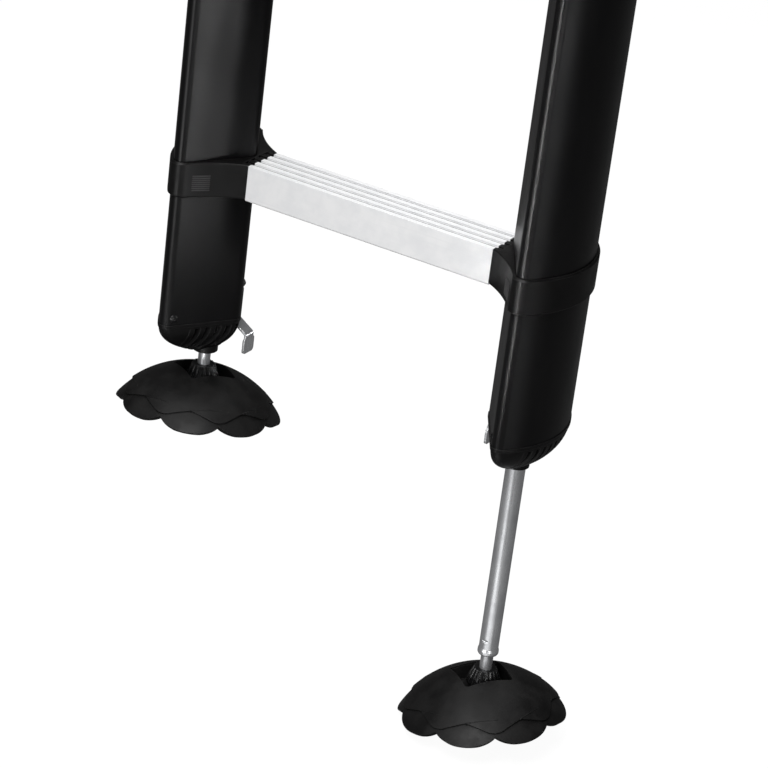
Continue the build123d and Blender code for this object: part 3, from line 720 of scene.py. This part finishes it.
@dataclass
class CollarGrip:
    """Patch of fine level ribs on the front of a rung collar's flare.

    The flare is an arc in plan from the rung's corner over its bow to its end at the stile, given for the
    right side with Y to the front. The share is the part of its sweep that the ribs cover.
    """

    side: Side
    corner: Pair = (0.149, 0.0275)
    bow: Pair = (0.171, 0.043)
    end: Pair = (0.198, 0.0743)
    share: Pair = (0.57, 0.86)
    rib_count: int = 8
    pitch: float = 0.0023
    top: float = -0.0140
    rib_height: float = 0.0012
    rib_proud: float = 0.0007
    rib_sunk: float = 0.0010
    round_share: float = 0.3
    round_segments: int = 2

    def _flare(self, share: float) -> Vector:
        """Point of the flare's arc in plan.

        Args:
            share: share of the arc's sweep, from the rung's corner.

        Returns:
            The point in the row frame, at height zero.
        """
        a, b, c = (Vector((*p, 0.0)) for p in (self.corner, self.bow, self.end))
        ab, ac = b - a, c - a
        normal = ab.cross(ac)
        toward = ac.length_squared * normal.cross(ab) + ab.length_squared * ac.cross(normal)
        centre = a + toward / (2.0 * normal.length_squared)
        start = a - centre
        sweep = math.copysign(start.angle(c - centre), normal.z)
        point = centre + Matrix.Rotation(sweep * share, 3, "Z") @ start
        return Vector((self.side.value * point.x, -point.y, 0.0))

    def build(self) -> bpy.types.Object:
        """Makes the ribs as rounded bars along the flare.

        Returns:
            The patch as one object.
        """
        inner, outer = (self._flare(share) for share in self.share)
        along = outer - inner
        out = UP.cross(along).normalized()
        if out.y > 0:
            out.negate()
        depth = self.rib_proud + self.rib_sunk
        middle = (inner + outer) / 2.0 + out * (self.rib_proud - depth / 2.0)
        patch = bmesh.new()
        for k in range(self.rib_count):
            before = set(patch.verts)
            bar = bmesh.ops.create_cube(patch, size=1.0)["verts"]
            bmesh.ops.scale(patch, vec=(along.length, depth, self.rib_height), verts=bar)
            edges = [e for e in patch.edges if e.verts[0] not in before]
            bmesh.ops.bevel(patch, geom=edges, offset=self.rib_height * self.round_share, affect="EDGES",
                            segments=self.round_segments, profile=0.5, material=-1)
            fresh = [v for v in patch.verts if v not in before]
            place = middle + UP * (self.top - k * self.pitch)
            bmesh.ops.transform(patch, matrix=frame_at(place, along, UP), verts=fresh)
        return piece_from(patch, f"{self.side.prefix}{Accent.WORN_RIBS.value}", smooth=False)


@dataclass
class Foot:
    """Placing of one foot, and the proud edges of its overlapping upper petals.

    The foot's axes have their origin in the ball's middle and Z up its stem. Angles are in degrees, those of
    tips and valleys from the foot's axis, seen from the middle of the dome's sphere.
    """

    side: Side
    ball_height: float
    lean: Pair
    phase: float
    rod_x: float = 0.1975
    petals: int = 8
    centre_drop: float = -0.0843
    dome_radius: float = 0.115
    tip_angle: float = 49.2
    valley_angle: float = 42.1
    edge_radius: float = 0.0009
    edge_taper: float = 0.65
    edge_sunk: float = 0.0002
    edge_reach: Pair = (0.98, 1.85)
    edge_steps: int = 14
    edge_sides: int = 8

    def axes(self) -> Matrix:
        """Places the foot.

        Returns:
            The matrix from the foot's own axes to the row frame.
        """
        x, y = self.lean
        tilt = Matrix.Rotation(math.atan(math.hypot(x, y)), 4, Vector((-y, x, 0.0)))
        place = Matrix.Translation((self.side.value * self.rod_x, 0.0, self.ball_height))
        return place @ tilt @ Matrix.Rotation(math.radians(self.phase), 4, "Z")

    def _spoke(self, turn: float, angle: float) -> Vector:
        """Level vector at a turn about the foot's axis, as long as the tangent of an angle from it."""
        level = Vector((math.cos(math.radians(turn)), math.sin(math.radians(turn)), 0.0))
        return level * math.tan(math.radians(angle))

    def _edge_point(self, tip_turn: float, share: float) -> Vector:
        """Place on the dome of a petal's side line.

        Args:
            tip_turn: angle of the petal's tip about the foot's axis.
            share: 0 at the tip, 1 at the valley and more beyond it, over the next petal.

        Returns:
            The point in the foot's axes.
        """
        tip = self._spoke(tip_turn, self.tip_angle)
        valley = self._spoke(tip_turn + 180.0 / self.petals, self.valley_angle)
        ray = tip.lerp(valley, share) + UP
        return UP * self.centre_drop + ray.normalized() * (self.dome_radius - self.edge_sunk)

    def _stations(self, tip_turn: float) -> List[Matrix]:
        """Places and sizes of a bead's cross-sections, along one petal's side.

        Args:
            tip_turn: angle of the petal's tip about the foot's axis.

        Returns:
            A matrix for each cross-section, from a circle of radius 1 to the foot's axes.
        """
        low, high = self.edge_reach
        shares = [i / self.edge_steps for i in range(self.edge_steps + 1)]
        points = [self._edge_point(tip_turn, low + (high - low) * share) for share in shares]
        stations = []
        for i, point in enumerate(points):
            ahead = points[min(i + 1, self.edge_steps)] - points[max(i - 1, 0)]
            out = (point - UP * self.centre_drop).normalized()
            across = frame_at(point, ahead, out) @ Matrix.Rotation(math.pi / 2.0, 4, "Y")
            stations.append(across @ Matrix.Scale(self.edge_radius * (1.0 - self.edge_taper * shares[i]), 4))
        return stations

    def build_edges(self) -> bpy.types.Object:
        """Sweeps a tapering bead along each petal's side, from its valley on over the next petal.

        Returns:
            All beads of the foot as one object.
        """
        beads = bmesh.new()
        for k in range(self.petals):
            stations = self._stations(360.0 / self.petals * (k + 0.5))
            circle = bmesh.ops.create_circle(beads, cap_ends=False, segments=self.edge_sides, radius=1.0)
            ring = circle["verts"]
            bmesh.ops.transform(beads, matrix=stations[0], verts=ring)
            for before, after in zip(stations, stations[1:]):
                loop = [e for e in beads.edges if all(v in ring for v in e.verts)]
                grown = bmesh.ops.extrude_edge_only(beads, edges=loop)["geom"]
                ring = [g for g in grown if isinstance(g, bmesh.types.BMVert)]
                bmesh.ops.transform(beads, matrix=after @ before.inverted(), verts=ring)
        bmesh.ops.holes_fill(beads, edges=[e for e in beads.edges if e.is_boundary], sides=self.edge_sides)
        bmesh.ops.transform(beads, matrix=self.axes(), verts=beads.verts)
        return piece_from(beads, f"{self.side.prefix}_petal_edges")


FEET = (
    Foot(Side.LEFT, ball_height=-0.2905, lean=(-0.021, 0.144), phase=25.5),
    Foot(Side.RIGHT, ball_height=-0.5200, lean=(-0.180, 0.030), phase=16.9),
)


@dataclass
class RivetStub:
    """Sunken mandrel stub in the middle of a blind rivet's head, inside a low ring.

    The sink's and the stub's sizes are shares of the ring's width and height. The ring starts its own height
    below the head's surface and ends as much above it.
    """

    place: Point
    out: Point
    head_rise: float
    ring_radius: float = 0.0014
    ring_width: float = 0.0005
    ring_height: float = 0.00025
    sink_width: float = 0.3
    sink_depth: float = 1.4
    stub_width: float = 0.5
    sides: int = 20

    def add_to(self, mesh: bmesh.types.BMesh) -> None:
        """Adds the ring with the domed stub inside it.

        Args:
            mesh: the mesh that they are added to.
        """
        before = set(mesh.verts)
        disc = bmesh.ops.create_circle(mesh, cap_ends=True, segments=self.sides,
                                       radius=self.ring_radius)["verts"]
        face = next(f for f in mesh.faces if all(v in disc for v in f.verts))
        raised = bmesh.ops.extrude_face_region(mesh, geom=[face])["geom"]
        top = next(g for g in raised if isinstance(g, bmesh.types.BMFace))
        bmesh.ops.translate(mesh, vec=(0.0, 0.0, 2.0 * self.ring_height), verts=top.verts)
        for width, depth in ((1.0, 0.0), (self.sink_width, -self.sink_depth), (self.stub_width, 1.0)):
            bmesh.ops.inset_region(mesh, faces=[top], thickness=width * self.ring_width,
                                   depth=depth * self.ring_height)
        fresh = [v for v in mesh.verts if v not in before]
        out = Vector(self.out).normalized()
        seat = Vector(self.place) + out * (self.head_rise - self.ring_height)
        bmesh.ops.transform(mesh, matrix=frame_at(seat, out.orthogonal(), out), verts=fresh)


@dataclass
class RivetSet:
    """All blind rivets of the base: under the rung, at the collars' backs and on the plugs.

    The plug's rivets sit on the stile's flats, a little way along from where each flat starts.
    """

    rung_x: float = 0.134
    rung_y: float = 0.012
    rung_under: float = -0.040
    stile_x: float = 0.2074
    collar_back: float = 0.0785
    collar_heights: Pair = (-0.007, -0.026)
    flat_start: Pair = (0.1997068, -0.0706719)
    flat_normal: Pair = (-0.854804, -0.519099)
    plug_inward: float = 0.003
    plug_height: float = -0.1804
    rise: float = 0.002025
    rung_rise: float = 0.00225

    def build(self) -> List[Tuple[bpy.types.Object, Slot]]:
        """Makes the stubs.

        Returns:
            The objects, each with the slot that it takes.
        """
        under = bmesh.new()
        for x in (-self.rung_x, self.rung_x):
            for y in (-self.rung_y, self.rung_y):
                RivetStub((x, y, self.rung_under), (0.0, 0.0, -1.0), self.rung_rise).add_to(under)
        black = bmesh.new()
        nx, ny = self.flat_normal
        px = self.flat_start[0] + ny * self.plug_inward
        py = self.flat_start[1] - nx * self.plug_inward
        for side in Side:
            for z in self.collar_heights:
                place = (side.value * self.stile_x, self.collar_back, z)
                RivetStub(place, (0.0, 1.0, 0.0), self.rise).add_to(black)
            for front in (1.0, -1.0):
                place = (side.value * px, front * py, self.plug_height)
                RivetStub(place, (side.value * nx, front * ny, 0.0), self.rise).add_to(black)
        return [(piece_from(under, "rung_rivet_stubs", smooth=False), Slot.ZINC),
                (piece_from(black, "base_rivet_stubs", smooth=False), Slot.RIVET)]


@dataclass
class LockSpring:
    """Coil between a lock's jam plate and its cover, which shortens as the lever is lifted."""

    side: Side
    rod_x: float = 0.1975
    coil_radius: float = 0.0136
    wire_radius: float = 0.0009
    low: float = -0.18946
    high: float = -0.1531
    turns: int = 5
    turn_steps: int = 36
    wire_sides: int = 10
    fixed_end: float = -0.152
    length_kept: float = 0.98

    def build(self) -> bpy.types.Object:
        """Winds the wire up round the leg, from the pivot's side.

        Returns:
            The coil.
        """
        coil = bmesh.new()
        bmesh.ops.create_circle(coil, cap_ends=True, segments=self.wire_sides, radius=self.wire_radius)
        upright = Matrix.Rotation(math.pi / 2.0, 4, "X")
        bmesh.ops.transform(coil, matrix=Matrix.Translation((self.coil_radius, 0.0, self.low)) @ upright,
                            verts=coil.verts)
        steps = self.turns * self.turn_steps
        bmesh.ops.spin(coil, geom=coil.verts[:] + coil.edges[:] + coil.faces[:], cent=(0.0, 0.0, 0.0),
                       axis=(0.0, 0.0, 1.0), dvec=(0.0, 0.0, (self.high - self.low) / steps),
                       angle=2.0 * math.pi * self.turns, steps=steps)
        mirrored = Matrix.Scale(self.side.value, 4, (1.0, 0.0, 0.0))
        place = mirrored @ Matrix.Translation((self.rod_x, 0.0, 0.0))
        bmesh.ops.transform(coil, matrix=place, verts=coil.verts)
        return piece_from(coil, f"{self.side.prefix}_lock_coil")

    def follow_lever(self, coil: bpy.types.Object) -> None:
        """Lets the coil stand for the spring's node, which it hides, and gives the coil a mesh of its own.

        Args:
            coil: the coil, dressed and riding on the base.
        """
        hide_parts(f"{self.side.prefix}_lock_spring")
        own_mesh(coil)


@dataclass(frozen=True)
class Lamp:
    """Rectangular softbox, hidden from the camera: sizes in metres, power in watts, spread in degrees."""

    name: str
    place: Point
    target: Point
    width: float
    height: float
    power: float
    spread: float = 180.0

    def hang(self) -> None:
        """Puts the lamp up."""
        data = bpy.data.lights.new(self.name, "AREA")
        data.shape = "RECTANGLE"
        data.size = self.width
        data.size_y = self.height
        data.energy = self.power
        data.spread = math.radians(self.spread)
        lamp = bpy.data.objects.new(self.name, data)
        lamp.location = self.place
        lamp.rotation_euler = (Vector(self.target) - Vector(self.place)).to_track_quat("-Z", "Y").to_euler()
        lamp.visible_camera = False
        bpy.context.scene.collection.objects.link(lamp)
        LOG.info("lamp %s hung", self.name)


LAMPS = (
    Lamp("box_above_front", (0.2, -1.6, 2.0), (0.0, 0.0, -0.1), 1.2, 1.2, 58.0),
    Lamp("box_above", (-0.5, 0.1, 2.35), (0.0, 0.0, -0.1), 1.8, 1.8, 28.0),
    Lamp("box_back", (-0.6, 1.5, 2.6), (0.0, 0.0, -0.1), 0.9, 0.9, 18.0),
    Lamp("box_right_front", (1.6, -1.5, -0.1), (0.0, 0.0, -0.1), 0.3, 0.9, 8.0),
    Lamp("box_low_front", (-0.15, -1.45, -0.42), (0.1, 0.0, -0.25), 0.5, 0.25, 5.0),
    Lamp("grid_strip", (1.4, -0.25, -0.35), (-0.225, -0.105, 0.12), 0.08, 0.9, 0.075, 8.0),
    Lamp("floor_strip", (0.235, -0.38, -0.553), (0.235, -0.379, 1.0), 0.22, 0.5, 0.36),
    Lamp("stem_panel", (0.02, -0.61, -0.55), (-0.1975, 0.0, -0.25), 0.2, 0.12, 0.05, 40.0),
    Lamp("nose_strip", (0.2, -1.3, -0.32), (0.2, -0.075, 0.1), 0.06, 0.45, 0.06, 8.0),
    Lamp("lever_strip", (0.75, 1.15, -0.19), (-0.16, 0.02, -0.225), 0.5, 0.2, 0.024, 8.0),
)


@dataclass
class Studio:
    """Floor and surroundings that are white to the camera, and the camera.

    The floor's own colour is dark, and its glow makes it white. Mirrors see only a small share of the white,
    and what is lit gets a plain fill from the surroundings.
    """

    floor_half: float = 9.0
    floor_gap: float = 0.0005
    floor_colour: Colour = (0.08, 0.08, 0.08)
    floor_roughness: float = 0.9
    floor_glow: float = 0.95
    patch_scale: float = 3.0
    patch_detail: float = 3.0
    patch_span: Pair = (0.3, 0.7)
    patch_paler: float = 1.03
    mirror_share: float = 0.04
    fill: float = 0.30
    eye: Point = (1.39647, -2.54156, 1.15554)
    aim: Point = (0.029968, 0.0, -0.202799)
    roll: float = 7.30
    lens: float = 140.57
    sensor: float = 36.0
    clip: Pair = (0.05, 60.0)

    def _white_share(self, wiring: Wiring) -> bpy.types.NodeSocket:
        """How much of the white surroundings a ray sees: all from the camera, a share in mirrors and glass.

        Args:
            wiring: the material's or world's wiring.

        Returns:
            The share's socket.
        """
        path = wiring.node("ShaderNodeLightPath")
        mirrored = wiring.math("ADD", path.outputs["Is Glossy Ray"], path.outputs["Is Transmission Ray"])
        return wiring.math("ADD", path.outputs["Is Camera Ray"], wiring.times(mirrored, self.mirror_share))

    def _floor_material(self) -> bpy.types.Material:
        """Makes the floor's finish: matt, aglow to the camera, and clear when seen from below.

        Returns:
            The material.
        """
        material, wiring, shader = open_material("studio_floor")
        noise = wiring.noise(wiring.mapped(UNSTRETCHED), self.patch_scale, self.patch_detail)
        pale = tuple(c * self.patch_paler for c in self.floor_colour)
        colour = wiring.mix(wiring.span(noise, *self.patch_span), self.floor_colour, pale)
        wiring.join(colour, shader.inputs["Base Color"])
        shader.inputs["Roughness"].default_value = self.floor_roughness
        shader.inputs["Specular IOR Level"].default_value = 0.0
        glow = wiring.node("ShaderNodeEmission")
        wiring.join(wiring.times(self._white_share(wiring), self.floor_glow), glow.inputs["Strength"])
        lit = wiring.node("ShaderNodeAddShader")
        wiring.join(shader.outputs[0], lit.inputs[0])
        wiring.join(glow.outputs[0], lit.inputs[1])
        clear = wiring.node("ShaderNodeBsdfTransparent")
        seen = wiring.node("ShaderNodeMixShader")
        wiring.join(wiring.node("ShaderNodeNewGeometry").outputs["Backfacing"], seen.inputs[0])
        wiring.join(lit.outputs[0], seen.inputs[1])
        wiring.join(clear.outputs[0], seen.inputs[2])
        wiring.join(seen.outputs[0], material.node_tree.nodes["Material Output"].inputs["Surface"])
        return material

    def lay_floor(self, low: float) -> bpy.types.Object:
        """Makes the floor under the lower foot.

        Args:
            low: height of the object's lowest point.

        Returns:
            The floor.
        """
        sheet = bmesh.new()
        bmesh.ops.create_grid(sheet, x_segments=1, y_segments=1, size=self.floor_half)
        bmesh.ops.translate(sheet, vec=(0.0, 0.0, low - self.floor_gap), verts=sheet.verts)
        floor = piece_from(sheet, "studio_floor", smooth=False)
        floor.data.materials.append(self._floor_material())
        floor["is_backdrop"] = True
        return floor

    def light_world(self) -> None:
        """Makes the surroundings white for the eye, a share of that in mirrors, and a plain fill."""
        world = bpy.data.worlds.new("studio_world")
        world.use_nodes = True
        bpy.context.scene.world = world
        wiring = Wiring(world.node_tree)
        backdrop = world.node_tree.nodes["Background"]
        backdrop.inputs["Color"].default_value = (1.0, 1.0, 1.0, 1.0)
        lit = wiring.times(wiring.node("ShaderNodeLightPath").outputs["Is Diffuse Ray"], self.fill)
        wiring.join(wiring.math("ADD", self._white_share(wiring), lit), backdrop.inputs["Strength"])

    def set_camera(self) -> None:
        """Stands the camera where the photograph was taken from."""
        data = bpy.data.cameras.new("photo_camera")
        data.lens = self.lens
        data.sensor_width = self.sensor
        data.clip_start, data.clip_end = self.clip
        camera = bpy.data.objects.new("photo_camera", data)
        look = (Vector(self.aim) - Vector(self.eye)).to_track_quat("-Z", "Y").to_matrix().to_4x4()
        roll = Matrix.Rotation(math.radians(self.roll), 4, "Z")
        camera.matrix_world = Matrix.Translation(self.eye) @ look @ roll
        bpy.context.scene.collection.objects.link(camera)
        bpy.context.scene.camera = camera


def plain_box(box: Tuple[Vector, Vector]) -> List[List[float]]:
    """A box's two corners as plain lists of numbers."""
    return [[float(v) for v in corner] for corner in box]


def main() -> None:
    """Builds and dresses everything in order."""
    logging.basicConfig(level=logging.INFO, format="%(message)s")
    cad_box = plain_box(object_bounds())
    bpy.context.scene.view_settings.view_transform = "Standard"
    wardrobe = Wardrobe()
    LOG.info("%d nodes dressed", wardrobe.dress_nodes(frame["record"]))
    for side in Side:
        wardrobe.dress_piece(CollarGrip(side).build(), Slot.MOULDING, "base")
    for foot in FEET:
        wardrobe.dress_piece(foot.build_edges(), Slot.RUBBER, f"{foot.side.prefix}_foot")
    for piece, slot in RivetSet().build():
        wardrobe.dress_piece(piece, slot, "base")
    for side in Side:
        spring = LockSpring(side)
        spring.follow_lever(wardrobe.dress_piece(spring.build(), Slot.ZINC, "base"))
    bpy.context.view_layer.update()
    studio = Studio()
    studio.lay_floor(cad_box[0][2])
    studio.light_world()
    for lamp in LAMPS:
        lamp.hang()
    studio.set_camera()


if __name__ == "__main__":
    main()
